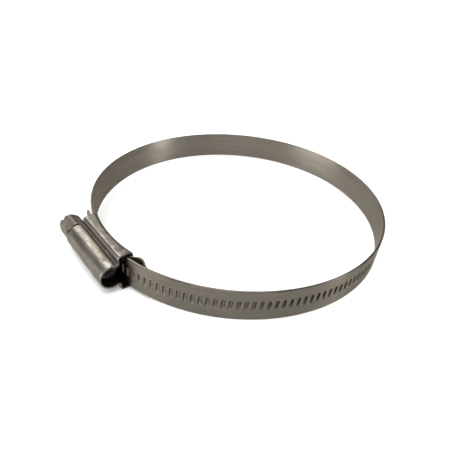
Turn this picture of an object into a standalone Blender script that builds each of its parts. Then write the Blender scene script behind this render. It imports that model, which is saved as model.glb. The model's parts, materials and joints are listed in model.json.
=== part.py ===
"""Worm-drive hose clamp with a 13 mm band, 125 mm inside when almost fully open.

The ring lies flat. Everything is worked out about the ring's own axis (+Z) and is then moved by one
empty, which puts the origin at the middle of the footprint, on the surface that the clamp lies on.
Angles are measured round the ring axis from +X. In the housing, "along" points from the screw head to
the open end, "out" points away from the ring axis, and +Z is up.
"""

import math

import bmesh
import bpy
import numpy as np
from mathutils import Matrix, Vector

MM = 0.001

# Band
BAND_WIDTH = 13.0 * MM
BAND_THICKNESS = 0.8 * MM
GAP = 0.3 * MM
TAIL_RADIUS = 64.0 * MM
ROOT_RADIUS = TAIL_RADIUS - BAND_THICKNESS - GAP

# Housing
HOUSING_ANGLE = math.radians(222.5)
HOUSING_LENGTH = 28.8 * MM
SHEET = 0.8 * MM
SHOULDER_TOP = 1.3 * MM
SHOULDER_BEND = 1.1 * MM
VALLEY_BEND = 0.7 * MM
FLANGE_BEND = 0.7 * MM
FLANGE_REACH = 3.3 * MM
HOUSING_STATIONS = 11

# Worm screw
WORM_PITCH = 2.56 * MM
WORM_RADIUS = 3.8 * MM
WORM_CORE = 2.85 * MM
MESH_DEPTH = 0.3 * MM
THREAD_CREST = 0.5 * MM
THREAD_FLANK = math.radians(15.0)
THREAD_TURNS = 5.75
THREAD_STEPS = 24
HEAD_FLATS = 8.0 * MM
HEAD_HEIGHT = 9.6 * MM
HEAD_CHAMFER = 1.0 * MM
SLOT_WIDTH = 1.1 * MM
SLOT_DEPTH = 1.3 * MM
SLOT_TURN = math.radians(36.0)
SCREW_SETBACK = 4.0 * MM
SCREW_SIDES = 32

# Grooves, pressed into the outside of the tail
GROOVE_LENGTH = 4.6 * MM
GROOVE_WIDTH = 1.35 * MM
GROOVE_DEPTH = 0.45 * MM
FIRST_GROOVE = -6
LAST_GROOVE = 45

# Travel, in turns of the screw from the position modelled
OPENING_TURNS = 1
CLOSING_TURNS = 35

# Ends of the strip, as angles round the ring
TAIL_TIP = math.radians(203.0)
TONGUE_END = math.radians(243.2)
ROOT_END = math.radians(207.0)
TONGUE_BULGE = 1.6 * MM
TIP_CORNER = 3.0 * MM
TIP_FLARE = 0.8 * MM

# The flexible loop, as short stiff lengths of strip
LINKS = 36
LINK_SEGMENTS = 3
EXACT_CLOSURE = 0.9

# Where the ring axis stands, so that the footprint is centred on the origin
RING_X = 2.48 * MM
RING_Y = 0.28 * MM

WORM_AXIS = TAIL_RADIUS + BAND_THICKNESS / 2 + WORM_RADIUS - MESH_DEPTH
TUNNEL_RADIUS = WORM_RADIUS + GAP + SHEET / 2
SIDE_WALL = BAND_WIDTH / 2 + 0.35 * MM + SHEET / 2
FLANGE_RADIUS = ROOT_RADIUS - BAND_THICKNESS / 2 - GAP - SHEET / 2
RING_HEIGHT = SIDE_WALL + SHEET / 2
MESH_RADIUS = TAIL_RADIUS + (BAND_THICKNESS - MESH_DEPTH) / 2
GROOVE_STEP = WORM_PITCH / MESH_RADIUS
TAIL_BACK = HOUSING_ANGLE + (LAST_GROOVE + 2) * GROOVE_STEP
CLOSING_ANGLE = CLOSING_TURNS * GROOVE_STEP

STEEL = (0.46, 0.44, 0.41, 1.0)


def clear_scene():
    for obj in list(bpy.data.objects):
        bpy.data.objects.remove(obj)


def new_collection(name):
    collection = bpy.data.collections.new(name)
    bpy.context.scene.collection.children.link(collection)
    return collection


def steel(name, roughness):
    material = bpy.data.materials.new(name)
    material.use_nodes = True
    shader = material.node_tree.nodes["Principled BSDF"]
    shader.inputs["Base Color"].default_value = STEEL
    shader.inputs["Metallic"].default_value = 1.0
    shader.inputs["Roughness"].default_value = roughness
    return material


def add_object(name, mesh, material, collection, origin=(0.0, 0.0, 0.0)):
    """An object whose mesh is given about the ring axis, with its own origin at another point there."""
    mesh.transform(Matrix.Translation(-Vector(origin)))
    mesh.shade_smooth()
    mesh.set_sharp_from_angle(angle=math.radians(35.0))
    mesh.materials.append(material)
    obj = bpy.data.objects.new(name, mesh)
    obj.location = origin
    collection.objects.link(obj)
    return obj


def mesh_of(name, bm):
    bmesh.ops.recalc_face_normals(bm, faces=bm.faces)
    mesh = bpy.data.meshes.new(name)
    bm.to_mesh(mesh)
    bm.free()
    return mesh


def add_cutter(name, mesh, cutters):
    obj = bpy.data.objects.new(name, mesh)
    cutters.objects.link(obj)
    obj.hide_render = True
    obj.display_type = "WIRE"
    return obj


def boolean(obj, operation, other):
    modifier = obj.modifiers.new(operation.title(), "BOOLEAN")
    modifier.operation = operation
    modifier.solver = "EXACT"
    modifier.object = other


def solidify(obj, thickness):
    modifier = obj.modifiers.new("Sheet", "SOLIDIFY")
    modifier.thickness = thickness
    modifier.offset = 0.0
    modifier.use_even_offset = True


def surface(name, rows):
    """An open grid of faces through rows of points, each row as long as the others."""
    bm = bmesh.new()
    grid = [[bm.verts.new(point) for point in row] for row in rows]
    for row, following in zip(grid, grid[1:]):
        for i in range(len(row) - 1):
            bm.faces.new((row[i], row[i + 1], following[i + 1], following[i]))
    return mesh_of(name, bm)


def round_ring(radius, angle, height):
    return Vector((radius * math.cos(angle), radius * math.sin(angle), height))


def strip_rows(stations):
    """Bottom and top edge of the strip's middle surface at each (radius, angle, half width)."""
    return [
        [round_ring(radius, angle, -half), round_ring(radius, angle, half)]
        for radius, angle, half in stations
    ]


def strip(name, stations, material, parts, origin=(0.0, 0.0, 0.0)):
    mesh = surface(name, strip_rows(stations))
    obj = add_object(name, mesh, material, parts, origin)
    solidify(obj, BAND_THICKNESS)
    return obj


# ---- the loop ---------------------------------------------------------------------------------------


def loop_radius(fraction):
    """The strip lies outside its own root in the housing, so round the loop it steps in by one layer."""
    return TAIL_RADIUS + (ROOT_RADIUS - TAIL_RADIUS) * fraction


def loop_angle(fraction):
    start = TAIL_BACK - 2 * math.pi
    return start + (ROOT_END - start) * fraction


def loop_seams():
    """Ring-plane points where one link ends and the next begins, from the tail to the root."""
    fractions = np.linspace(0.0, 1.0, LINKS + 1)
    radii, angles = loop_radius(fractions), loop_angle(fractions)
    return np.stack([radii * np.cos(angles), radii * np.sin(angles)], axis=1)


def turned(points, angle):
    c, s = np.cos(angle), np.sin(angle)
    return np.stack([c * points[..., 0] - s * points[..., 1], s * points[..., 0] + c * points[..., 1]], -1)


def tightened(seams, travel, shape):
    """Turn of every link and the place of every seam when the tail has gone round by travel.

    The seams between links share the tail's turn by 1 + a cos + b sin of their place round the loop.
    """
    place = np.linspace(0.0, 2 * math.pi, LINKS + 1)
    share = 1 + shape[0] * np.cos(place) + shape[1] * np.sin(place)
    turns = -travel + np.cumsum(share / share.sum() * travel)[:-1]
    steps = turned(np.diff(seams, axis=0), turns)
    start = turned(seams[:1], -travel)
    return turns, np.concatenate([start, start + np.cumsum(steps, axis=0)])


def closing_shape(seams, travel):
    """The two shape numbers that bring the loop's end back to the root, by Newton's method."""
    shape, nudge = np.zeros(2), 1e-4
    for _ in range(8):
        miss = tightened(seams, travel, shape)[1][-1] - seams[-1]
        slopes = [
            (tightened(seams, travel, shape + step)[1][-1] - seams[-1] - miss) / nudge
            for step in np.eye(2) * nudge
        ]
        shape = shape - np.linalg.solve(np.array(slopes).T, miss)
    return shape


def link_poles():
    """For each link, the fixed point that it turns about and its turn per unit of the tail's turn.

    A link's place in the loop drawn tight and its place in the open loop have one such point between them.
    """
    seams, travel = loop_seams(), EXACT_CLOSURE * CLOSING_ANGLE
    turns, moved = tightened(seams, travel, closing_shape(seams, travel))
    poles = []
    for turn, before, after in zip(turns, seams, moved):
        c, s = math.cos(turn), math.sin(turn)
        offset = after - turned(before, turn)
        poles.append(np.linalg.solve(np.array([[1 - c, s], [-s, 1 - c]]), offset))
    return np.array(poles), -turns / travel


def make_links(material, parts):
    """Short lengths of strip, each a half gap short of the seams at its ends."""
    poles, _ = link_poles()
    trim = GAP / 2 / (TAIL_RADIUS * (loop_angle(1.0) - loop_angle(0.0)))
    for i, pole in enumerate(poles):
        fractions = np.linspace(i / LINKS + trim, (i + 1) / LINKS - trim, LINK_SEGMENTS + 1)
        stations = [(loop_radius(f), loop_angle(f), BAND_WIDTH / 2) for f in fractions]
        name = f"band_link_{i + 1:02d}"
        strip(name, stations, material, parts, (pole[0], pole[1], 0.0))


def make_root(material, parts):
    """The held end: from the first seam through the housing to a tongue that bows in off the grooved strip."""
    mouth = HOUSING_ANGLE + math.asin(HOUSING_LENGTH / 2 / TAIL_RADIUS)
    start = ROOT_END + GAP / 2 / ROOT_RADIUS
    stations = [(ROOT_RADIUS, a, BAND_WIDTH / 2) for a in np.linspace(start, mouth, 17)]
    for u in np.linspace(0.0, 1.0, 9)[1:]:
        radius = ROOT_RADIUS - TONGUE_BULGE * math.sin(math.pi * u) ** 2
        stations.append((radius, mouth + (TONGUE_END - mouth) * u, tip_half_width(1 - u, TONGUE_END - mouth)))
    strip("band_root", stations, material, parts)


def tip_half_width(share, span):
    """Half width near a rounded end, at a share of the span before it."""
    before_end = min(share * span * TAIL_RADIUS, TIP_CORNER)
    corner = TIP_CORNER - math.sqrt(TIP_CORNER**2 - (TIP_CORNER - before_end) ** 2)
    return BAND_WIDTH / 2 - corner


def groove_cutter(cutters, ring):
    """All the grooves: one round-ended slot, leaning at the worm's helix angle, repeated round the tail."""
    depth = 3 * GROOVE_DEPTH
    half = (GROOVE_LENGTH - GROOVE_WIDTH) / 2
    outline = []
    for centre, start in ((half, 0.0), (-half, math.pi)):
        for i in range(5):
            a = start + i * math.pi / 4
            outline.append((GROOVE_WIDTH / 2 * math.cos(a), centre + GROOVE_WIDTH / 2 * math.sin(a)))
    bm = bmesh.new()
    floor = TAIL_RADIUS + BAND_THICKNESS / 2 - GROOVE_DEPTH
    lean = math.atan(WORM_PITCH / (2 * math.pi * WORM_RADIUS))
    face = bm.faces.new([bm.verts.new((0.0, x, z)) for x, z in outline])
    bmesh.ops.rotate(bm, verts=bm.verts, matrix=Matrix.Rotation(-lean, 3, "X"))
    wall = bmesh.ops.extrude_face_region(bm, geom=[face])["geom"]
    raised = [v for v in wall if isinstance(v, bmesh.types.BMVert)]
    bmesh.ops.translate(bm, verts=raised, vec=(depth, 0.0, 0.0))
    bmesh.ops.translate(bm, verts=bm.verts, vec=(floor, 0.0, 0.0))
    bmesh.ops.rotate(
        bm, verts=bm.verts, matrix=Matrix.Rotation(HOUSING_ANGLE + FIRST_GROOVE * GROOVE_STEP, 3, "Z")
    )
    cutter = add_cutter("grooves", mesh_of("grooves", bm), cutters)
    cutter.parent = ring
    step = bpy.data.objects.new("groove_step", None)
    cutters.objects.link(step)
    step.rotation_euler.z = GROOVE_STEP
    step.parent = ring
    array = cutter.modifiers.new("Repeat", "ARRAY")
    array.use_relative_offset = False
    array.use_object_offset = True
    array.offset_object = step
    array.count = LAST_GROOVE - FIRST_GROOVE + 1
    array.merge_threshold = 0.00001
    return cutter


def make_tail(material, parts, cutters, ring):
    """The grooved strip: flat between neighbouring half steps, so that each groove lies on one flat.

    Its tip, beyond the screw's head, bends a little outwards.
    """
    first = HOUSING_ANGLE + (FIRST_GROOVE - 0.5) * GROOVE_STEP
    angles = [first + i * GROOVE_STEP for i in range(LAST_GROOVE - FIRST_GROOVE + 2)]
    span, end = first - TAIL_TIP, TAIL_BACK - GAP / 2 / TAIL_RADIUS
    stations = []
    for share in np.linspace(0.05, 0.95, 5) ** 2:
        flared = TAIL_RADIUS + TIP_FLARE * (1 - share) ** 2
        stations.append((flared, TAIL_TIP + span * share, tip_half_width(share, span)))
    stations += [(TAIL_RADIUS, a, BAND_WIDTH / 2) for a in angles + [end]]
    tail = strip("band_tail", stations, material, parts)
    boolean(tail, "DIFFERENCE", groove_cutter(cutters, ring))


# ---- housing ----------------------------------------------------------------------------------------


def arc(centre, radius, start, end, steps):
    """Points (out, height) on an arc, its angle measured from out towards height."""
    angles = np.radians(np.linspace(start, end, steps + 1))
    return [(centre[0] + radius * math.cos(a), centre[1] + radius * math.sin(a)) for a in angles]


def housing_section():
    """Middle line of the upper half of the sheet, as (out, height), from the flange to the tunnel's crown."""
    top = TAIL_RADIUS + SHOULDER_TOP
    flange = [(FLANGE_RADIUS, FLANGE_REACH)]
    flange += arc((FLANGE_RADIUS + FLANGE_BEND, SIDE_WALL - FLANGE_BEND), FLANGE_BEND, 180, 90, 3)
    shoulder = arc((top - SHOULDER_BEND, SIDE_WALL - SHOULDER_BEND), SHOULDER_BEND, 90, 0, 5)
    valley_out = top + VALLEY_BEND
    valley_height = math.sqrt((TUNNEL_RADIUS + VALLEY_BEND) ** 2 - (WORM_AXIS - valley_out) ** 2)
    lean = math.degrees(math.atan2(WORM_AXIS - valley_out, valley_height))
    valley = arc((valley_out, valley_height), VALLEY_BEND, 180, 270 + lean, 3)
    tunnel = arc((WORM_AXIS, 0.0), TUNNEL_RADIUS, 90 + lean, 0, 9)
    return flange + shoulder + valley[:-1] + tunnel


def saddle_drop(along, out):
    """The flanges follow the ring's curve and the tunnel is straight; the side walls blend the two."""
    low, high = FLANGE_RADIUS + FLANGE_BEND, TAIL_RADIUS + SHOULDER_TOP - SHOULDER_BEND
    curved = 1 - min(max((out - low) / (high - low), 0.0), 1.0)
    return curved * (FLANGE_RADIUS - math.sqrt(FLANGE_RADIUS**2 - along**2))


def make_housing(material, parts):
    half = housing_section()
    section = half + [(out, -height) for out, height in reversed(half[:-1])]
    rows = []
    for along in np.linspace(-HOUSING_LENGTH / 2, HOUSING_LENGTH / 2, HOUSING_STATIONS):
        rows.append([(out - saddle_drop(along, out), along, height) for out, height in section])
    mesh = surface("housing", rows)
    mesh.transform(Matrix.Rotation(HOUSING_ANGLE, 4, "Z"))
    solidify(add_object("housing", mesh, material, parts), SHEET)


# ---- worm screw -------------------------------------------------------------------------------------


def lathe(name, profile, cutters, sides):
    """A solid turned about Z from (radius, height) points that run from the top down."""
    bm = bmesh.new()
    verts = [bm.verts.new((radius, 0.0, height)) for radius, height in profile]
    for one, other in zip(verts, verts[1:]):
        bm.edges.new((one, other))
    mesh = bpy.data.meshes.new(name)
    bm.to_mesh(mesh)
    bm.free()
    obj = add_cutter(name, mesh, cutters)
    modifier = obj.modifiers.new("Turn", "SCREW")
    modifier.steps = sides
    modifier.render_steps = sides
    modifier.use_merge_vertices = True
    modifier.merge_threshold = 0.00001
    modifier.use_normal_calculate = False
    return obj


def head_base():
    return -HOUSING_LENGTH / 2 - GAP


def screw_shank(cutters):
    """Journal under the head, threaded core, and tip with a dished end."""
    base, tip = head_base() - 0.2 * MM, HOUSING_LENGTH / 2 - SCREW_SETBACK
    neck = THREAD_TURNS / 2 * WORM_PITCH + 1.2 * MM
    chamfer = 0.4 * MM
    profile = [
        (0.0, tip - 0.8 * MM),
        (WORM_RADIUS * 0.55, tip),
        (WORM_RADIUS - chamfer, tip),
        (WORM_RADIUS, tip - chamfer),
        (WORM_RADIUS, neck + chamfer),
        (WORM_CORE, neck),
        (WORM_CORE, -neck),
        (WORM_RADIUS, -neck - chamfer),
        (WORM_RADIUS, base),
        (0.0, base),
    ]
    return lathe("shank", profile, cutters, SCREW_SIDES)


def screw_thread(cutters):
    """A right-hand ridge that rises from the core at both ends; its crest crosses the housing's middle."""
    steps = int(THREAD_TURNS * THREAD_STEPS)
    sunk = WORM_CORE - 0.25 * MM
    bm = bmesh.new()
    rings = []
    for i in range(steps + 1):
        turn = (i / steps - 0.5) * THREAD_TURNS
        rise = min(1.0, min(i, steps - i) / (THREAD_STEPS / 2))
        crest = sunk + (WORM_RADIUS - sunk) * (0.1 + 0.9 * rise)
        foot = THREAD_CREST / 2 + (WORM_RADIUS - sunk) * math.tan(THREAD_FLANK)
        corners = ((sunk, -foot), (crest, -THREAD_CREST / 2), (crest, THREAD_CREST / 2), (sunk, foot))
        angle = 2 * math.pi * turn
        ring = [
            bm.verts.new((r * math.cos(angle), r * math.sin(angle), turn * WORM_PITCH + z)) for r, z in corners
        ]
        rings.append(ring)
    for ring, following in zip(rings, rings[1:]):
        for j in range(4):
            k = (j + 1) % 4
            bm.faces.new((ring[j], following[j], following[k], ring[k]))
    bm.faces.new(rings[0])
    bm.faces.new(list(reversed(rings[-1])))
    return add_cutter("thread", mesh_of("thread", bm), cutters)


def head_crown(cutters):
    """The turned outline that rounds the hexagon's corners off at the top."""
    top, corner = head_base() - HEAD_HEIGHT, HEAD_FLATS / math.sqrt(3.0)
    profile = [
        (0.0, head_base()),
        (corner - 0.3 * MM, head_base()),
        (corner, head_base() - 0.3 * MM),
        (corner, top + HEAD_CHAMFER * 1.6),
        (corner - HEAD_CHAMFER * 0.3, top + HEAD_CHAMFER * 0.6),
        (corner - HEAD_CHAMFER, top),
        (0.0, top),
    ]
    return lathe("crown", profile, cutters, SCREW_SIDES)


def head_slot(cutters):
    """The screwdriver slot, sawn across the top nearly from flat to flat."""
    bm = bmesh.new()
    bmesh.ops.create_cube(bm, size=1.0)
    bmesh.ops.scale(bm, verts=bm.verts, vec=(SLOT_WIDTH, 2 * HEAD_FLATS, 2 * SLOT_DEPTH))
    bmesh.ops.rotate(bm, verts=bm.verts, matrix=Matrix.Rotation(SLOT_TURN, 3, "Z"))
    bmesh.ops.translate(bm, verts=bm.verts, vec=(0.0, 0.0, head_base() - HEAD_HEIGHT))
    return add_cutter("slot", mesh_of("slot", bm), cutters)


def make_screw(material, parts, cutters):
    """The head is the body that the other shapes are joined to and cut from."""
    bm = bmesh.new()
    bmesh.ops.create_cone(
        bm,
        cap_ends=True,
        segments=6,
        radius1=HEAD_FLATS / math.sqrt(3.0),
        radius2=HEAD_FLATS / math.sqrt(3.0),
        depth=HEAD_HEIGHT,
        matrix=Matrix.Translation((0.0, 0.0, head_base() - HEAD_HEIGHT / 2)),
    )
    obj = add_object("worm_screw", mesh_of("worm_screw", bm), material, parts)
    boolean(obj, "INTERSECT", head_crown(cutters))
    boolean(obj, "DIFFERENCE", head_slot(cutters))
    boolean(obj, "UNION", screw_shank(cutters))
    boolean(obj, "UNION", screw_thread(cutters))
    return obj


def along_tunnel(obj):
    """Stands a shape made about Z on the worm's axis, its own X facing the ring axis."""
    out = Vector((math.cos(HOUSING_ANGLE), math.sin(HOUSING_ANGLE), 0.0))
    along = Vector((-out.y, out.x, 0.0))
    frame = Matrix((-out, along.cross(-out), along)).transposed().to_4x4()
    obj.matrix_local = Matrix.Translation(out * WORM_AXIS) @ frame


def main():
    clear_scene()
    parts, cutters = new_collection("hose_clamp"), new_collection("cutters")
    ring = bpy.data.objects.new("ring_axis", None)
    ring.location = (RING_X, RING_Y, RING_HEIGHT)
    parts.objects.link(ring)

    band = steel("band_steel", 0.35)
    make_links(band, parts)
    make_root(band, parts)
    make_tail(band, parts, cutters, ring)
    make_housing(steel("housing_steel", 0.3), parts)
    screw = make_screw(steel("screw_steel", 0.4), parts, cutters)
    for obj in [o for o in parts.objects if o.type == "MESH"]:
        obj.parent = ring
    screw_shapes = [o for o in cutters.objects if o.name in ("crown", "slot", "shank", "thread")]
    for obj in [screw] + screw_shapes:
        obj.parent = ring
        along_tunnel(obj)


main()
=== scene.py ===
import json
import math

import bmesh
import bpy
import numpy as np
from mathutils import Matrix, Vector, noise

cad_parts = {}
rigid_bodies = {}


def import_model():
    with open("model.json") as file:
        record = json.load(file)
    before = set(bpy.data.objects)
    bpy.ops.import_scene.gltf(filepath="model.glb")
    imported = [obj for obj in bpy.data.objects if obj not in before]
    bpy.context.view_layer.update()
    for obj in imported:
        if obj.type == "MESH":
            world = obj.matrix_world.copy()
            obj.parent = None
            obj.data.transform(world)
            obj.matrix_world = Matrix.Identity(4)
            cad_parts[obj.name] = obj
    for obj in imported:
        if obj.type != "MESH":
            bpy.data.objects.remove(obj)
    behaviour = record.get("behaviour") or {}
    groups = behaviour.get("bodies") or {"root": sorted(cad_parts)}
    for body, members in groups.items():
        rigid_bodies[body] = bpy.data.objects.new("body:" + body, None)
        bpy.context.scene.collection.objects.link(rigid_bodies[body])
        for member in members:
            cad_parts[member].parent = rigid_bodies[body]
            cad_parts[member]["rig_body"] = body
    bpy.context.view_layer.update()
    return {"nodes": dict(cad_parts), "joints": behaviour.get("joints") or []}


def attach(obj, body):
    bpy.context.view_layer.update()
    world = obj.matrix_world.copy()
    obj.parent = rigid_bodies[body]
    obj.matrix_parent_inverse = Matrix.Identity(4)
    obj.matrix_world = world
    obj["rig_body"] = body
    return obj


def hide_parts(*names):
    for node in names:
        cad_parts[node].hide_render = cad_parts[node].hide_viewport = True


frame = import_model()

# The looks of a worm-drive hose clamp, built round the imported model. Lengths are in metres. Places on the
# ring are (radius, angle, height) about the ring's own axis; places in the housing are (out, along, height).

MM = 0.001


def joint(name):
    return next(j for j in frame["joints"] if j["name"] == name)


# From the frame: the ring's axis, the worm's axis and the housing's directions
RING = Vector(joint("tail_feed")["pos_m"])
WORM = Vector(joint("screw_turn")["pos_m"])
ALONG = Vector(joint("screw_turn")["axis"]).normalized()
UP = Vector((0.0, 0.0, 1.0))
OUT = ALONG.cross(UP)
WORM_AXIS = (WORM - RING).dot(OUT)
HOUSING_ANGLE = math.atan2(OUT.y, OUT.x) % (2 * math.pi)
LINK_NAMES = sorted(name for name in frame["nodes"] if name.startswith("band_link_"))

# Strip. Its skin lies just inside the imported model's, which is made of chords; LAYER is one strip and one gap.
BAND_WIDTH = 13.0 * MM
LAYER = 1.1 * MM
SKIN_INSET = 0.045 * MM
BAND_THICKNESS = 0.8 * MM - 2 * SKIN_INSET
TAIL_RADIUS = 64.0 * MM
ROOT_RADIUS = TAIL_RADIUS - LAYER
EDGE_ROUND = 0.27 * MM
STATION_STEP = 0.8 * MM
COVER_LENGTH = 1.2 * MM
COVER_INSET = 0.2 * MM
# Painted shade: the share by which the strip's outer face is darker than its inner face.
OUTER_PAINTED_SHADE = 0.25

# Grooves of the tail
WORM_PITCH = 2.56 * MM
MESH_RADIUS = TAIL_RADIUS + 0.25 * MM
GROOVE_STEP = WORM_PITCH / MESH_RADIUS
FIRST_GROOVE = -6
LAST_GROOVE = 45
GROOVE_LENGTH = 4.6 * MM
GROOVE_WIDTH = 1.35 * MM
GROOVE_DEPTH = 0.48 * MM
GROOVE_LEAN = math.radians(5.5)
CELL_HEIGHT = 6.2 * MM
# How deep the surface lies at each distance from the groove's middle line, as shares of its half width
# and depth. Pressing raises a slight lip round it.
GROOVE_PROFILE = (
    (0.0, 1.0), (0.4, 1.0), (0.56, 0.95), (0.7, 0.78), (0.82, 0.5), (0.93, 0.22), (1.03, 0.02), (1.15, -0.07),
    (1.36, 0.0),
)

# Ends of the strip, as angles round the ring
TAIL_TIP = math.radians(203.0)
TAIL_BACK = HOUSING_ANGLE + (LAST_GROOVE + 2) * GROOVE_STEP
ROOT_END = math.radians(207.0)
TONGUE_END = math.radians(243.2)
TONGUE_BULGE = 1.6 * MM
TIP_CORNER = 3.0 * MM
TIP_FLARE = 0.8 * MM

# Housing
HOUSING_LENGTH = 28.8 * MM
SHEET = 0.8 * MM
SHEET_ROUND = 0.22 * MM
SHOULDER_TOP = 1.3 * MM
SHOULDER_BEND = 1.1 * MM
VALLEY_BEND = 0.7 * MM
FLANGE_BEND = 0.7 * MM
FLANGE_REACH = 3.3 * MM
FLANGE_RADIUS = ROOT_RADIUS - LAYER
SIDE_WALL = BAND_WIDTH / 2 + 0.35 * MM + SHEET / 2
WORM_RADIUS = 3.8 * MM
TUNNEL_RADIUS = WORM_RADIUS + 0.7 * MM
GRID_STEP = 0.3 * MM
FACE_INSET = 0.04 * MM
FIRST_BAR = 4.3 * MM
BAR_STEP = 1.2 * MM
BAR_DISTANCE = 6.7 * MM
DENT = (10.2 * MM, 13.9 * MM)

# Screw
WORM_CORE = 2.85 * MM
THREAD_CREST = 0.5 * MM
THREAD_FLANK = math.radians(15.0)
THREAD_TURNS = 5.75
THREAD_STEPS = 48
HEAD_FLATS = 8.0 * MM
HEAD_GAP = 0.3 * MM
HEAD_HEIGHT = 9.6 * MM
HEAD_CHAMFER = 1.0 * MM
SLOT_WIDTH = 1.1 * MM
SLOT_DEPTH = 1.3 * MM
SLOT_TURN = math.radians(36.0)
SCREW_SETBACK = 4.0 * MM
SCREW_SIDES = 96

# Camera and its picture
LENS = 30.28
ELEVATION = math.radians(35.92)
ROLL = math.radians(5.45)
DISTANCE = 159.9 * MM
TARGET = RING + Vector((-2.03, -22.55, 0.0)) * MM


# ---- meshes -----------------------------------------------------------------------------------------


def new_object(name, bm, materials, sharp=35.0):
    bmesh.ops.recalc_face_normals(bm, faces=bm.faces)
    mesh = bpy.data.meshes.new(name)
    bm.to_mesh(mesh)
    bm.free()
    mesh.shade_smooth()
    mesh.set_sharp_from_angle(angle=math.radians(sharp))
    for material in materials:
        mesh.materials.append(material)
    obj = bpy.data.objects.new(name, mesh)
    bpy.context.scene.collection.objects.link(obj)
    return obj


def new_strip():
    """An empty mesh that can carry the strip's painted shade."""
    bm = bmesh.new()
    bm.verts.layers.float.new("dirt_and_shade")
    return bm


def round_ring(radius, angle, height):
    return RING + Vector((radius * math.cos(angle), radius * math.sin(angle), height))


def join_rings(bm, rings, closed=True):
    """Faces between each ring of vertices and the next."""
    for ring, following in zip(rings, rings[1:]):
        count = len(ring)
        for i in range(count if closed else count - 1):
            j = (i + 1) % count
            bm.faces.new((ring[i], ring[j], following[j], following[i]))


def give_strip_map(obj, low_angle):
    """A UV map in centimetres: the length run along the strip from angle zero, and the height."""
    layer = obj.data.uv_layers.new(name="grain")
    for loop in obj.data.loops:
        place = obj.data.vertices[loop.vertex_index].co - RING
        angle = math.atan2(place.y, place.x)
        angle += 2 * math.pi * math.ceil((low_angle - 0.05 - angle) / (2 * math.pi))
        layer.data[loop.index].uv = (angle * TAIL_RADIUS * 100, place.z * 100)


# ---- strip ------------------------------------------------------------------------------------------


def corner(centre_out, centre_height, radius, start):
    """A quarter turn of points (out, height), start being its first angle in degrees."""
    angles = np.radians(start + np.linspace(0.0, 90.0, 5))
    return [(centre_out + radius * math.cos(a), centre_height + radius * math.sin(a)) for a in angles]


def strip_outline(half_width, heights, inset=0.0):
    """The strip's section: points at the given heights up the outer face, then the rest of the way round."""
    face = BAND_THICKNESS / 2 - inset
    round_off = min(EDGE_ROUND, face * 0.9)
    side, top = face - round_off, half_width - inset - round_off
    outer = [(face, height) for height in heights]
    rest = [(face, top - 0.3 * MM)] + corner(side, top, round_off, 0) + corner(-side, top, round_off, 90)
    rest += corner(-side, -top, round_off, 180) + corner(side, -top, round_off, 270) + [(face, 0.3 * MM - top)]
    return outer, rest


def strip_painted_shade(angle, out, height):
    """The outer face is painted darker than the inner one, and darker in blotches along its two edges: painted shade.
    """
    edge = bump(abs(height) - BAND_WIDTH / 2 + 0.2 * MM, 0.3 * MM)
    blotch = 0.55 + 1.1 * noise.noise(Vector((angle * 9, height * 100, 5.0)))
    return OUTER_PAINTED_SHADE + 0.6 * edge * min(max(blotch, 0.0), 1.0) if out > 0.1 * MM else 0.0


def section(bm, radius, angle, outline):
    dirt_and_shade = bm.verts.layers.float["dirt_and_shade"]
    ring = []
    for out, height in outline:
        vert = bm.verts.new(round_ring(radius + out, angle, height))
        vert[dirt_and_shade] = strip_painted_shade(angle, out, height)
        ring.append(vert)
    return ring


def loft(bm, stations, heights, inset=0.0):
    """A closed length of strip through (radius, angle, half width) stations."""
    rings = []
    for radius, angle, half_width in stations:
        outer, rest = strip_outline(half_width, heights, inset)
        rings.append(section(bm, radius, angle, outer + rest))
    join_rings(bm, rings)
    bm.faces.new(rings[0])
    bm.faces.new(rings[-1])


def tip_half_width(share, span):
    """Half width near a rounded end, at a share of the span before it."""
    before_end = min(share * span * TAIL_RADIUS, TIP_CORNER)
    return BAND_WIDTH / 2 - TIP_CORNER + math.sqrt(TIP_CORNER**2 - (TIP_CORNER - before_end) ** 2)


def loop_station(fraction):
    """The flexible loop steps in by one layer of strip between the tail and the root."""
    start = TAIL_BACK - 2 * math.pi
    radius = TAIL_RADIUS + (ROOT_RADIUS - TAIL_RADIUS) * fraction
    return radius, start + (ROOT_END - start) * fraction, BAND_WIDTH / 2


def plain_heights():
    return np.linspace(-CELL_HEIGHT / 2, CELL_HEIGHT / 2, 3)


def make_link(index, name, material):
    """One stiff length of the loop, with a thin cover that reaches on into the next length."""
    bm = new_strip()
    low, high = index / len(LINK_NAMES), (index + 1) / len(LINK_NAMES)
    length = TAIL_RADIUS * (loop_station(1.0)[1] - loop_station(0.0)[1])
    steps = max(4, round((high - low) * length / STATION_STEP))
    loft(bm, [loop_station(f) for f in np.linspace(low, high, steps + 1)], plain_heights())
    if index < len(LINK_NAMES) - 1:
        reach = COVER_LENGTH / length
        loft(bm, [loop_station(high + d) for d in np.linspace(-reach, reach, 5)], plain_heights(), COVER_INSET)
    piece = new_object(name.replace("band_link", "strip"), bm, [material])
    give_strip_map(piece, loop_station(low)[1])
    return piece


def cell_sides():
    """Heights up a cell's sides and places along its ends, closer together round the groove's ends."""
    half = (GROOVE_LENGTH - GROOVE_WIDTH) / 2
    across, beyond = WORM_PITCH / 2, CELL_HEIGHT / 2 - half
    diagonal = math.atan2(beyond, across)
    ends = [half + across * math.tan(a) for a in np.linspace(0.0, diagonal, 5)]
    heights = [-h for h in reversed(ends)] + list(np.linspace(-half, half, 7)[1:-1]) + ends
    places = [beyond / math.tan(a) for a in np.linspace(math.pi - diagonal, diagonal, 7)]
    return heights, places


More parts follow.
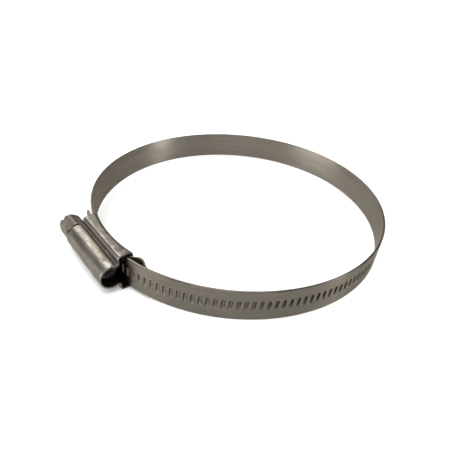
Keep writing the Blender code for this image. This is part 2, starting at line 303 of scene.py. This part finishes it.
def groove_cell(bm, centre_angle, heights, places, shade_share):
    """One groove and the flat round it, as rings that run from the groove's middle line to the cell's border."""
    half = (GROOVE_LENGTH - GROOVE_WIDTH) / 2
    border = [(places[-1], h) for h in heights] + [(s, heights[-1]) for s in reversed(places[1:-1])]
    border += [(places[0], h) for h in reversed(heights)] + [(s, heights[0]) for s in places[1:-1]]
    face = TAIL_RADIUS + BAND_THICKNESS / 2
    cos_lean, sin_lean = math.cos(GROOVE_LEAN), math.sin(GROOVE_LEAN)
    dirt_and_shade = bm.verts.layers.float["dirt_and_shade"]
    rings = []
    for share, full_depth in GROOVE_PROFILE:
        ring = []
        for s, h in border:
            depth = full_depth * (1 - 0.75 * min(max(-2 * h / GROOVE_LENGTH, 0.0), 1.0) ** 2)
            middle = min(max(h, -half), half)
            away = Vector((s, h - middle)).normalized()
            x, y = away.x * share * GROOVE_WIDTH / 2, middle + away.y * share * GROOVE_WIDTH / 2
            along, height = x * cos_lean + y * sin_lean, y * cos_lean - x * sin_lean
            place = round_ring(face - depth * GROOVE_DEPTH, centre_angle + along / MESH_RADIUS, height)
            vert = bm.verts.new(place)
            # Painted shade: the groove's floor and walls are darkened most on its left wall and upper end, and least
            # at its lower end.
            shaded = max(0.6 - 0.4 * away.x, away.y, shade_share) * (1 - 0.8 * max(-away.y, 0.0))
            vert[dirt_and_shade] = OUTER_PAINTED_SHADE + shaded * depth * (0.1 + 0.7 * shade_share + 4.0 * max(1 - full_depth, 0.0))
            ring.append(vert)
        rings.append(ring)
    rings.append([bm.verts.new(round_ring(face, centre_angle + s / MESH_RADIUS, h)) for s, h in border])
    for vert in rings[-1]:
        vert[dirt_and_shade] = OUTER_PAINTED_SHADE
    join_rings(bm, rings)


def tail_end(bm, stations, heights):
    """Plain strip at one end of the grooves, closed at its own far end, which is its first station."""
    rings = []
    for radius, angle, half_width in stations:
        outer, rest = strip_outline(half_width, heights)
        rings.append(section(bm, radius, angle, outer + rest))
    join_rings(bm, rings)
    bm.faces.new(rings[0])


def make_tail(material):
    heights, places = cell_sides()
    bm = new_strip()
    around = []
    for k in range(FIRST_GROOVE, LAST_GROOVE + 1):
        centre = HOUSING_ANGLE + k * GROOVE_STEP
        # The painted shade in the grooves grows from groove 14 to groove 27 and is full beyond.
        groove_cell(bm, centre, heights, places, min(max((k - 14) / 13, 0.0), 1.0))
        outer, rest = strip_outline(BAND_WIDTH / 2, heights)
        for s in places if k == LAST_GROOVE else places[:-1]:
            ends = [outer[-1]] + rest + [outer[0]]
            around.append(section(bm, TAIL_RADIUS, centre + s / MESH_RADIUS, ends))
    join_rings(bm, around, closed=False)

    first = HOUSING_ANGLE + (FIRST_GROOVE - 0.5) * GROOVE_STEP
    last = HOUSING_ANGLE + (LAST_GROOVE + 0.5) * GROOVE_STEP
    span = first - TAIL_TIP
    tip = []
    for share in np.linspace(0.05, 1.0, 17) ** 2:
        flared = TAIL_RADIUS + TIP_FLARE * (1 - share) ** 2
        tip.append((flared, TAIL_TIP + span * share, tip_half_width(share, span)))
    tail_end(bm, tip, heights)
    tail_end(bm, [(TAIL_RADIUS, a, BAND_WIDTH / 2) for a in np.linspace(TAIL_BACK, last, 6)], heights)
    bmesh.ops.remove_doubles(bm, verts=bm.verts, dist=0.002 * MM)

    reach = COVER_LENGTH / TAIL_RADIUS
    cover = [(TAIL_RADIUS, TAIL_BACK + d, BAND_WIDTH / 2) for d in np.linspace(-reach, reach, 5)]
    loft(bm, cover, plain_heights(), COVER_INSET)
    piece = new_object("strip_tail", bm, [material])
    give_strip_map(piece, TAIL_TIP - 2 * math.pi)
    return piece


def make_root(material):
    """The held end of the strip, through the housing to the tongue that bows in off the grooved layer."""
    mouth = HOUSING_ANGLE + math.asin(HOUSING_LENGTH / 2 / TAIL_RADIUS)
    count = round((mouth - ROOT_END) * ROOT_RADIUS / STATION_STEP)
    stations = [(ROOT_RADIUS, a, BAND_WIDTH / 2) for a in np.linspace(ROOT_END, mouth, count + 1)]
    for u in np.linspace(0.0, 1.0, 33)[1:]:
        angle = mouth + (TONGUE_END - mouth) * u
        radius = ROOT_RADIUS - TONGUE_BULGE * math.sin(math.pi * u) ** 2
        stations.append((radius, angle, tip_half_width(1 - u, TONGUE_END - mouth)))
    bm = new_strip()
    loft(bm, stations, plain_heights())
    piece = new_object("strip_root", bm, [material])
    give_strip_map(piece, ROOT_END)
    return piece


# ---- housing ----------------------------------------------------------------------------------------


def arc(centre, radius, start, end):
    """Points (out, height) on an arc, its angle in degrees from out towards height."""
    steps = max(4, math.ceil(radius * math.radians(abs(end - start)) / GRID_STEP))
    angles = np.radians(np.linspace(start, end, steps + 1))
    return [(centre[0] + radius * math.cos(a), centre[1] + radius * math.sin(a)) for a in angles]


def run(start, end):
    """Points on the straight from start up to, but not at, end."""
    steps = max(1, math.ceil(math.dist(start, end) / GRID_STEP))
    return [tuple(p) for p in np.linspace(start, end, steps + 1)[:-1]]


def housing_half_section():
    """Middle line of the upper half of the sheet, as (out, height), from the flange to the tunnel's crown."""
    top = TAIL_RADIUS + SHOULDER_TOP
    flange_bend = arc((FLANGE_RADIUS + FLANGE_BEND, SIDE_WALL - FLANGE_BEND), FLANGE_BEND, 180, 90)
    shoulder = arc((top - SHOULDER_BEND, SIDE_WALL - SHOULDER_BEND), SHOULDER_BEND, 90, 0)
    valley_out = top + VALLEY_BEND
    valley_height = math.sqrt((TUNNEL_RADIUS + VALLEY_BEND) ** 2 - (WORM_AXIS - valley_out) ** 2)
    lean = math.degrees(math.atan2(WORM_AXIS - valley_out, valley_height))
    valley = arc((valley_out, valley_height), VALLEY_BEND, 180, 270 + lean)
    tunnel = arc((WORM_AXIS, 0.0), TUNNEL_RADIUS, 90 + lean, 0)
    line = run((FLANGE_RADIUS, FLANGE_REACH), flange_bend[0]) + flange_bend[:-1]
    line += run(flange_bend[-1], shoulder[0]) + shoulder[:-1]
    line += run(shoulder[-1], valley[0]) + valley[:-1]
    return line + tunnel


def valley_distance():
    """From the tunnel's crown round to the bottom of the valley beside it."""
    lean = math.asin((WORM_AXIS - TAIL_RADIUS - SHOULDER_TOP - VALLEY_BEND) / (TUNNEL_RADIUS + VALLEY_BEND))
    return TUNNEL_RADIUS * (math.pi / 2 + lean) + VALLEY_BEND * (math.pi / 4 + lean / 2)


def saddle_drop(along, out):
    """The flanges follow the ring's curve and the tunnel is straight; the side walls blend the two."""
    low, high = FLANGE_RADIUS + FLANGE_BEND, TAIL_RADIUS + SHOULDER_TOP - SHOULDER_BEND
    curved = 1 - min(max((out - low) / (high - low), 0.0), 1.0)
    return curved * (FLANGE_RADIUS - math.sqrt(FLANGE_RADIUS**2 - along**2))


def bump(distance, width):
    """One at zero distance, falling smoothly to nothing at the given width."""
    share = min(abs(distance) / width, 1.0)
    return (1 - share * share) ** 2


def pressed_bars(along, crown_distance, first=0.0):
    """Five short bars across the tunnel near its open end, as one on a bar and nothing off it."""
    place = (along + 0.25 * (crown_distance - BAR_DISTANCE) - FIRST_BAR) / BAR_STEP - first
    off_bar = (place - min(max(round(place), 0), 4)) * BAR_STEP
    return bump(off_bar, 0.6 * MM) * bump(crown_distance - BAR_DISTANCE, 1.6 * MM)


def bar_shadows(along, crown_distance):
    """A painted shadow along one side of each bar."""
    return pressed_bars(along, crown_distance, 0.5)


def shoulder_dent(along, crown_distance):
    """A ragged knock on the upper shoulder by the open end."""
    ragged = 0.7 + noise.noise(Vector((along * 900, crown_distance * 900, 1.0)))
    return bump(math.dist((along, crown_distance), DENT), 2.1 * MM) * min(max(ragged, 0.0), 1.0)


def relief(along, crown_distance):
    """How far the pressed sheet's outer face stands off its ideal shape: waviness, bars and a dent."""
    wave = noise.noise(Vector((along * 110, crown_distance * 190, 3.0)))
    fine = noise.noise(Vector((along * 420, crown_distance * 420, 9.0)))
    height = (0.04 * wave + 0.01 * fine + 0.05 * pressed_bars(along, crown_distance)) * MM
    return height - 0.16 * MM * shoulder_dent(along, crown_distance)


def housing_dirt_and_shade(along, crown_distance, out, height):
    """Painted shade in the valleys, on the upper flat of the side walls and beside the bars, a painted highlight on
    the bars, and dirt in the dent.
    """
    # Painted shade: darker in the valleys and on the upper flat of the side walls.
    dirt_and_shade = 0.28 * bump(abs(crown_distance) - valley_distance(), 1.7 * MM)
    dirt_and_shade += 0.7 * bump(height / SIDE_WALL - 1, 0.01) * bump(out - ROOT_RADIUS - 0.3 * MM, 2.5 * MM)
    dirt_and_shade += 0.5 * shoulder_dent(along, crown_distance)
    # A painted shadow beside each bar, and a painted highlight on the bars themselves.
    return dirt_and_shade + 1.1 * bar_shadows(along, crown_distance) - 0.4 * pressed_bars(along, crown_distance)


def normals_of(line):
    """Unit normals, to the left of the way that the line runs."""
    points = np.array(line)
    tangents = np.gradient(points, axis=0)
    tangents /= np.linalg.norm(tangents, axis=1)[:, None]
    return np.stack([-tangents[:, 1], tangents[:, 0]], axis=1)


def housing_stations():
    """(along, how much thinner each face is) from the head end to the open end, rounded at both."""
    half = HOUSING_LENGTH / 2
    ends = [(half - SHEET_ROUND * (1 - math.sin(a)), SHEET_ROUND * (1 - math.cos(a))) for a in
            np.radians([0.0, 30.0, 60.0, 90.0])]
    inner = np.linspace(-ends[0][0], ends[0][0], round(HOUSING_LENGTH / GRID_STEP))
    return [(-a, t) for a, t in reversed(ends)] + [(a, 0.0) for a in inner[1:-1]] + ends


def make_housing(outside, inside):
    half = housing_half_section()
    line = half + [(out, -height) for out, height in reversed(half[:-1])]
    normals = normals_of(line)
    lengths = np.cumsum([0.0] + [math.dist(a, b) for a, b in zip(line, line[1:])])
    crown = lengths[-1] / 2
    bm = bmesh.new()
    place = bm.verts.layers.float_vector.new("place")
    dirt_and_shade = bm.verts.layers.float.new("dirt_and_shade")
    loops = []
    for along, thinner in housing_stations():
        faces = []
        for side in (1, -1):
            row = []
            for (out, height), normal, run_length in zip(line, normals, lengths):
                distance = crown - run_length
                offset = side * (SHEET / 2 - thinner)
                if side == 1:
                    offset = min(offset, offset - FACE_INSET + relief(along, distance))
                out_here = out - saddle_drop(along, out) + normal[0] * offset
                vert = bm.verts.new(RING + OUT * out_here + ALONG * along + UP * (height + normal[1] * offset))
                vert[place] = (along * 100, distance * 100, side)
                vert[dirt_and_shade] = housing_dirt_and_shade(along, distance, out, height)
                row.append(vert)
            faces.append(row)
        loops.append(faces)
    for (outer, inner), (next_outer, next_inner) in zip(loops, loops[1:]):
        join_rings(bm, [outer, next_outer], closed=False)
        for i in range(len(inner) - 1):
            face = bm.faces.new((inner[i], inner[i + 1], next_inner[i + 1], next_inner[i]))
            face.material_index = 1
        for end in (0, -1):
            bm.faces.new((outer[end], next_outer[end], next_inner[end], inner[end]))
    for outer, inner in (loops[0], loops[-1]):
        join_rings(bm, [outer, inner], closed=False)
    piece = new_object("housing_shell", bm, [outside, inside])
    layer = piece.data.uv_layers.new(name="grain")
    places = piece.data.attributes["place"].data
    for loop in piece.data.loops:
        layer.data[loop.index].uv = places[loop.vertex_index].vector[:2]
    return piece


# ---- screw ------------------------------------------------------------------------------------------
# Made about its own Z, head downwards, and laid along the worm's axis at the end. Its vertices keep the place
# that they had before, for the turning marks.


def lathe(profile, name):
    """A closed solid turned about Z from (radius, height) points that run down from one end to the other."""
    bm = bmesh.new()
    rings = []
    for radius, height in profile[1:-1]:
        turns = [2 * math.pi * i / SCREW_SIDES for i in range(SCREW_SIDES)]
        rings.append([bm.verts.new((radius * math.cos(a), radius * math.sin(a), height)) for a in turns])
    join_rings(bm, rings)
    for ring, (_, height) in ((rings[0], profile[0]), (rings[-1], profile[-1])):
        middle = bm.verts.new((0.0, 0.0, height))
        for i, vert in enumerate(ring):
            bm.faces.new((vert, ring[(i + 1) % SCREW_SIDES], middle))
    return new_object(name, bm, [])


def head_base():
    return -HOUSING_LENGTH / 2 - HEAD_GAP


def screw_shank():
    base, tip = head_base() - 0.2 * MM, HOUSING_LENGTH / 2 - SCREW_SETBACK
    neck = THREAD_TURNS / 2 * WORM_PITCH + 1.2 * MM
    chamfer = 0.4 * MM
    profile = [(0.0, tip - 0.8 * MM), (WORM_RADIUS * 0.35, tip - 0.55 * MM), (WORM_RADIUS * 0.55, tip - 0.05 * MM)]
    profile += [(WORM_RADIUS * 0.6, tip), (WORM_RADIUS - chamfer, tip), (WORM_RADIUS - 0.1 * MM, tip - 0.3 * MM)]
    profile += [(WORM_RADIUS, tip - 0.5 * MM), (WORM_RADIUS, neck + chamfer), (WORM_CORE, neck)]
    profile += [(WORM_CORE, -neck), (WORM_RADIUS, -neck - chamfer), (WORM_RADIUS, base), (0.0, base)]
    return lathe(profile, "shank")


def screw_thread():
    """A right-hand ridge that rises from the core at both ends; its crest crosses the housing's middle."""
    steps = int(THREAD_TURNS * THREAD_STEPS)
    sunk = WORM_CORE - 0.25 * MM
    bm = bmesh.new()
    rings = []
    for i in range(steps + 1):
        turn = (i / steps - 0.5) * THREAD_TURNS
        rise = min(1.0, min(i, steps - i) / (THREAD_STEPS / 2))
        crest = sunk + (WORM_RADIUS - sunk) * (0.1 + 0.9 * rise)
        foot = THREAD_CREST / 2 + (WORM_RADIUS - sunk) * math.tan(THREAD_FLANK)
        edge = 0.12 * MM
        corners = ((sunk, -foot), (crest - edge, -THREAD_CREST / 2 - edge / 3), (crest, -THREAD_CREST / 2 + edge),
                   (crest, THREAD_CREST / 2 - edge), (crest - edge, THREAD_CREST / 2 + edge / 3), (sunk, foot))
        angle = 2 * math.pi * turn
        ring = [bm.verts.new((r * math.cos(angle), r * math.sin(angle), turn * WORM_PITCH + z)) for r, z in corners]
        rings.append(ring)
    join_rings(bm, rings)
    bm.faces.new(rings[0])
    bm.faces.new(rings[-1])
    return new_object("thread", bm, [])


def head_crown():
    """The turned outline that rounds the hexagon's corners off at the top, and a little at the base."""
    top, reach = head_base() - HEAD_HEIGHT, HEAD_FLATS / math.sqrt(3.0)
    profile = [(0.0, head_base()), (reach - 0.45 * MM, head_base()), (reach, head_base() - 0.35 * MM)]
    for a in np.radians(np.linspace(0.0, 90.0, 9)):
        inwards, downwards = 1.3 * HEAD_CHAMFER * (1 - math.cos(a)), 2.1 * HEAD_CHAMFER * (1 - math.sin(a))
        profile.append((reach - inwards, top + FACE_INSET + downwards))
    profile.append((0.0, top + FACE_INSET))
    return lathe(profile, "crown")


def head_hexagon():
    bm = bmesh.new()
    bmesh.ops.create_cone(
        bm, cap_ends=True, segments=6, radius1=HEAD_FLATS / math.sqrt(3.0), radius2=HEAD_FLATS / math.sqrt(3.0),
        depth=HEAD_HEIGHT, matrix=Matrix.Translation((0.0, 0.0, head_base() - HEAD_HEIGHT / 2)),
    )
    upright = [e for e in bm.edges if abs(e.verts[0].co.z - e.verts[1].co.z) > HEAD_HEIGHT / 2]
    bmesh.ops.bevel(bm, geom=upright, offset=0.5 * MM, segments=6, profile=0.5, affect="EDGES")
    return new_object("hexagon", bm, [])


def head_slot():
    bm = bmesh.new()
    bmesh.ops.create_cube(bm, size=1.0)
    bmesh.ops.scale(bm, verts=bm.verts, vec=(SLOT_WIDTH, 2 * HEAD_FLATS, 2 * SLOT_DEPTH))
    floor = [e for e in bm.edges if abs(e.verts[0].co.y - e.verts[1].co.y) > HEAD_FLATS]
    bmesh.ops.bevel(bm, geom=floor, offset=0.2 * MM, segments=3, profile=0.5, affect="EDGES")
    bmesh.ops.rotate(bm, verts=bm.verts, matrix=Matrix.Rotation(SLOT_TURN, 3, "Z"))
    bmesh.ops.translate(bm, verts=bm.verts, vec=(0.0, 0.0, head_base() - HEAD_HEIGHT))
    return new_object("slot", bm, [])


def combine(obj, operation, other):
    modifier = obj.modifiers.new(operation.title(), "BOOLEAN")
    modifier.operation = operation
    modifier.solver = "EXACT"
    modifier.object = other


def make_screw(material):
    piece = head_hexagon()
    shapes = [head_crown(), head_slot(), screw_shank(), screw_thread()]
    for operation, other in zip(("INTERSECT", "DIFFERENCE", "UNION", "UNION"), shapes):
        combine(piece, operation, other)
    bevel = piece.modifiers.new("Edges", "BEVEL")
    bevel.width = 0.07 * MM
    bevel.segments = 2
    bevel.limit_method = "ANGLE"
    bevel.angle_limit = math.radians(38.0)
    evaluated = piece.evaluated_get(bpy.context.evaluated_depsgraph_get())
    mesh = bpy.data.meshes.new_from_object(evaluated)
    for obj in [piece] + shapes:
        bpy.data.objects.remove(obj)
    mesh.materials.clear()
    mesh.materials.append(material)
    mesh.shade_smooth()
    mesh.set_sharp_from_angle(angle=math.radians(30.0))
    place = mesh.attributes.new("place", "FLOAT_VECTOR", "POINT")
    for vert in mesh.vertices:
        place.data[vert.index].vector = vert.co
    mesh.transform(Matrix.Translation(WORM) @ Matrix((-OUT, UP, ALONG)).transposed().to_4x4())
    screw = bpy.data.objects.new("screw", mesh)
    bpy.context.scene.collection.objects.link(screw)
    return screw


# ---- materials --------------------------------------------------------------------------------------


class Nodes:
    """Short calls for building a material's nodes. A socket or a plain value can be given as any input."""

    def __init__(self, name):
        self.material = bpy.data.materials.new(name)
        self.material.use_nodes = True
        self.tree = self.material.node_tree
        self.shader = self.tree.nodes["Principled BSDF"]

    def add(self, kind, inputs=(), **settings):
        node = self.tree.nodes.new("ShaderNode" + kind)
        for key, value in settings.items():
            setattr(node, key, value)
        for key, value in dict(inputs).items():
            self.put(node.inputs[key], value)
        return node

    def put(self, socket, value):
        if isinstance(value, bpy.types.NodeSocket):
            self.tree.links.new(value, socket)
        else:
            socket.default_value = value

    def math(self, operation, *values):
        return self.add("Math", enumerate(values), operation=operation).outputs[0]

    def stretched(self, vector, scale, turn=0.0):
        inputs = {"Vector": vector, "Scale": scale, "Rotation": (0.0, 0.0, turn)}
        return self.add("Mapping", inputs).outputs[0]

    def noise(self, vector, scale=1.0, detail=3.0, roughness=0.5, distortion=0.0):
        inputs = {"Vector": vector, "Scale": scale, "Detail": detail, "Roughness": roughness, "Distortion": distortion}
        return self.add("TexNoise", inputs).outputs["Fac"]

    def span(self, value, low, high, to_low=0.0, to_high=1.0):
        """Value mapped from low..high to to_low..to_high, and held there beyond."""
        inputs = {"Value": value, "From Min": low, "From Max": high, "To Min": to_low, "To Max": to_high}
        return self.add("MapRange", inputs, clamp=True).outputs[0]

    def blend(self, share, one, other, mode="MIX"):
        node = self.add("Mix", data_type="RGBA", blend_type=mode)
        self.put(node.inputs[0], share)
        self.put(node.inputs[6], one)
        self.put(node.inputs[7], other)
        return node.outputs[2]

    def scratches(self, vector, turn, along, across, amount):
        """Thin broken lines: a stretched noise, kept only where it crosses its middle value."""
        value = self.noise(self.stretched(vector, (along, across, 1.0), turn), detail=0.0)
        line = self.span(self.math("ABSOLUTE", self.math("SUBTRACT", value, 0.5)), 0.0, 0.012, 1.0, 0.0)
        where = self.noise(self.stretched(vector, (1.7, 2.3, 1.0), turn + 1.0), detail=2.0)
        return self.math("MULTIPLY", line, self.span(where, 0.62 - amount, 0.7 - amount))

    def finish(self, colour, roughness, height, height_scale, anisotropy=0.0):
        bump = self.add("Bump", {"Height": height, "Strength": 1.0, "Distance": height_scale})
        self.put(self.shader.inputs["Normal"], bump.outputs[0])
        self.put(self.shader.inputs["Base Color"], colour)
        self.put(self.shader.inputs["Roughness"], roughness)
        self.put(self.shader.inputs["Metallic"], 1.0)
        self.put(self.shader.inputs["Specular Tint"], (0.62, 0.59, 0.55, 1.0))
        if anisotropy:
            tangent = self.add("Tangent", direction_type="UV_MAP", uv_map="grain")
            self.put(self.shader.inputs["Anisotropic"], anisotropy)
            self.put(self.shader.inputs["Anisotropic Rotation"], 0.25)
            self.put(self.shader.inputs["Tangent"], tangent.outputs[0])
        return self.material


def rolled_steel(name, cool, warm, roughness, anisotropy, wear=0.0, dirt_and_shade_strength=0.75):
    """Satin sheet: fine grain along U, cloudy tone, soft smears, thin scratches, and painted shade in the hollows,
    with dirt in one dent.
    """
    n = Nodes(name)
    grain_map = n.add("UVMap", uv_map="grain").outputs[0]
    grain = n.noise(n.stretched(grain_map, (1.1, 110.0, 1.0)), detail=4.0, roughness=0.65)
    streak = n.noise(n.stretched(grain_map, (0.5, 16.0, 1.0)), detail=3.0, roughness=0.6)
    cloud = n.noise(n.stretched(grain_map, (0.7, 1.6, 1.0)), detail=4.0, roughness=0.6, distortion=0.4)
    spots = n.noise(n.stretched(grain_map, (9.0, 11.0, 1.0)), detail=3.0, roughness=0.7)
    patch = n.noise(n.stretched(grain_map, (2.2, 3.6, 1.0)), detail=5.0, roughness=0.72, distortion=0.6)
    along = n.scratches(grain_map, 0.05, 0.4, 26.0, 0.1 + wear)
    across = n.scratches(grain_map, 0.9, 0.6, 24.0, 0.03 + wear)
    marks = n.math("MAXIMUM", along, across)
    colour = n.blend(n.span(cloud, 0.35, 0.65), cool, warm)
    tone = n.math("ADD", n.span(streak, 0.3, 0.7, 0.86, 1.1), n.span(grain, 0.3, 0.7, -0.06, 0.06))
    tone = n.math("MULTIPLY", tone, n.span(spots, 0.3, 0.42, 0.8, 1.0))
    tone = n.math("ADD", tone, n.math("MULTIPLY", marks, 0.25))
    tone = n.math("MULTIPLY", tone, n.span(patch, 0.34, 0.66, 1.0 - 3 * wear, 1.0 + 3 * wear))
    # The vertex attribute darkens the tone: painted shade in hollows, grooves and along edges, and dirt in the
    # housing's dent.
    dirt_and_shade = n.add("Attribute", attribute_name="dirt_and_shade").outputs["Fac"]
    dirt_and_shade = n.math("MULTIPLY", dirt_and_shade, n.span(spots, 0.3, 0.6, 1.0, 0.75))
    tone = n.math("MULTIPLY", tone, n.math("SUBTRACT", 1.0, n.math("MULTIPLY", dirt_and_shade, dirt_and_shade_strength)))
    colour = n.blend(1.0, colour, n.add("CombineColor", {0: tone, 1: tone, 2: tone}).outputs[0], "MULTIPLY")
    rough = n.span(cloud, 0.3, 0.7, roughness - 0.05, roughness + 0.07)
    rough = n.math("ADD", rough, n.span(grain, 0.3, 0.7, -0.05, 0.05))
    rough = n.math("ADD", rough, n.span(patch, 0.34, 0.66, wear, -wear))
    rough = n.math("SUBTRACT", rough, n.math("MULTIPLY", marks, 0.08))
    height = n.math("ADD", n.math("MULTIPLY", grain, 0.5), n.math("MULTIPLY", streak, 0.6))
    height = n.math("SUBTRACT", height, n.math("MULTIPLY", marks, 0.5))
    return n.finish(colour, rough, height, 0.012 * MM, anisotropy)


# A near-black finish for the housing's inside: oil, and painted shade that stands for the dark inside the tunnel.
def oily_steel_in_shade(name):
    n = Nodes(name)
    grain_map = n.add("UVMap", uv_map="grain").outputs[0]
    smear = n.noise(n.stretched(grain_map, (2.0, 6.0, 1.0)), detail=4.0, roughness=0.6)
    colour = n.blend(n.span(smear, 0.35, 0.7), (0.02, 0.018, 0.016, 1.0), (0.075, 0.068, 0.058, 1.0))
    return n.finish(colour, n.span(smear, 0.3, 0.7, 0.3, 0.5), smear, 0.02 * MM)


def turned_steel(name, cool, warm, roughness):
    """Turning marks run round the screw's own Z. The worm is oily; the head's base ring is darkened by oil and painted
    shade; the tip's end face has a painted shadow on its lower half.
    """
    n = Nodes(name)
    place = n.add("Attribute", attribute_name="place").outputs["Vector"]
    x, y, z = n.add("SeparateXYZ", {0: place}).outputs
    radius = n.math("SQRT", n.math("ADD", n.math("MULTIPLY", x, x), n.math("MULTIPLY", y, y)))
    rings = n.add("CombineXYZ", {0: n.math("MULTIPLY", radius, 4000.0), 1: n.math("MULTIPLY", z, 4000.0)})
    turning = n.noise(rings.outputs[0], detail=3.0, roughness=0.6)
    cloud = n.noise(place, scale=420.0, detail=4.0, roughness=0.65, distortion=0.5)
    pits = n.noise(place, scale=2600.0, detail=2.0, roughness=0.7)
    colour = n.blend(n.span(cloud, 0.35, 0.65), cool, warm)
    tip = HOUSING_LENGTH / 2 - SCREW_SETBACK
    tone = n.math("MULTIPLY", n.span(turning, 0.3, 0.7, 0.85, 1.1), n.span(pits, 0.3, 0.45, 0.72, 1.0))
    tone = n.math("MULTIPLY", tone, n.span(cloud, 0.35, 0.65, 0.7, 1.2))
    # The worm and a ring at the head's base are darkened: oil, and at the head's base also painted shade where it
    # meets the housing.
    clean_and_unshaded = n.span(z, head_base() - 1.2 * MM, head_base() - 1.0 * MM, 1.0, 0.1)
    # The tip's end face shows bare steel on its upper half and a painted shadow on its lower half.
    tip_face_light_and_shade = n.math("MULTIPLY", n.span(z, tip - 0.5 * MM, tip), n.span(y, -0.6 * MM, 0.6 * MM, 0.1, 1.1))
    tone = n.math("MULTIPLY", tone, n.math("ADD", clean_and_unshaded, tip_face_light_and_shade))
    colour = n.blend(1.0, colour, n.add("CombineColor", {0: tone, 1: tone, 2: tone}).outputs[0], "MULTIPLY")
    rough = n.span(cloud, 0.3, 0.7, roughness - 0.06, roughness + 0.1)
    rough = n.math("ADD", rough, n.span(turning, 0.3, 0.7, -0.05, 0.05))
    height = n.math("ADD", n.math("MULTIPLY", turning, 0.6), n.math("MULTIPLY", pits, 0.5))
    return n.finish(colour, rough, height, 0.02 * MM)


# ---- studio -----------------------------------------------------------------------------------------


def make_floor():
    bm = bmesh.new()
    bmesh.ops.create_circle(bm, cap_ends=True, segments=96, radius=4.0)
    floor = new_object("floor", bm, [])
    n = Nodes("pale_floor")
    place = n.add("TexCoord").outputs["Object"]
    paper = n.noise(place, scale=900.0, detail=3.0)
    n.put(n.shader.inputs["Base Color"], n.blend(paper, (0.93, 0.93, 0.93, 1.0), (0.96, 0.96, 0.96, 1.0)))
    n.put(n.shader.inputs["Roughness"], 0.9)
    floor.data.materials.append(n.material)


def softbox(name, azimuth, elevation, spread, strength):
    """A soft light far off. Azimuth is measured round +Z from +X, like the ring's angles; spread is its width."""
    light = bpy.data.lights.new(name, "SUN")
    light.angle = math.radians(spread)
    light.energy = strength
    obj = bpy.data.objects.new(name, light)
    a, e = math.radians(azimuth), math.radians(elevation)
    away = Vector((math.cos(a) * math.cos(e), math.sin(a) * math.cos(e), math.sin(e)))
    obj.rotation_euler = away.to_track_quat("Z", "Y").to_euler()
    bpy.context.scene.collection.objects.link(obj)


def light_studio():
    world = bpy.data.worlds.new("studio")
    world.use_nodes = True
    world.node_tree.nodes["Background"].inputs["Color"].default_value = (1.0, 1.0, 1.0, 1.0)
    world.node_tree.nodes["Background"].inputs["Strength"].default_value = 0.4
    bpy.context.scene.world = world
    softbox("back_softbox", 129.0, 42.0, 34.0, 1.6)
    softbox("left_softbox", 203.0, 8.0, 42.0, 3.5)
    softbox("right_softbox", 344.0, 8.0, 7.0, 1.4)
    softbox("front_softbox", 262.0, 10.0, 50.0, 0.4)
    softbox("top_softbox", 270.0, 76.0, 45.0, 2.4)
    bpy.context.scene.view_settings.view_transform = "Standard"


def place_camera():
    camera = bpy.data.objects.new("camera", bpy.data.cameras.new("camera"))
    camera.data.lens = LENS
    camera.data.sensor_width = 36.0
    camera.data.clip_start, camera.data.clip_end = 1 * MM, 20.0
    forward = Vector((0.0, math.cos(ELEVATION), -math.sin(ELEVATION)))
    right = Vector((1.0, 0.0, 0.0))
    up = right.cross(forward)
    rolled_right = right * math.cos(ROLL) + up * math.sin(ROLL)
    rolled_up = up * math.cos(ROLL) - right * math.sin(ROLL)
    turn = Matrix((rolled_right, rolled_up, -forward)).transposed().to_4x4()
    camera.matrix_world = Matrix.Translation(TARGET - forward * DISTANCE) @ turn
    bpy.context.scene.collection.objects.link(camera)
    bpy.context.scene.camera = camera


# ---- the whole clamp --------------------------------------------------------------------------------


def put_on(piece, body, node):
    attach(piece, body)
    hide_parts(node)


def body_with(node):
    return frame["nodes"][node]["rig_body"]


band_steel = rolled_steel("band_steel", (0.152, 0.139, 0.12, 1.0), (0.173, 0.151, 0.122, 1.0), 0.38, 0.8)
housing_steel = rolled_steel(
    "housing_steel", (0.14, 0.132, 0.118, 1.0), (0.165, 0.145, 0.118, 1.0), 0.33, 0.35, wear=0.09
)
housing_inside = oily_steel_in_shade("housing_inside")
screw_steel = turned_steel("screw_steel", (0.17, 0.157, 0.138, 1.0), (0.19, 0.165, 0.132, 1.0), 0.5)

for index, name in enumerate(LINK_NAMES):
    put_on(make_link(index, name, band_steel), body_with(name), name)
put_on(make_tail(band_steel), body_with("band_tail"), "band_tail")
put_on(make_root(band_steel), body_with("band_root"), "band_root")
put_on(make_housing(housing_steel, housing_inside), body_with("housing"), "housing")
put_on(make_screw(screw_steel), body_with("worm_screw"), "worm_screw")

place_camera()
light_studio()
make_floor()
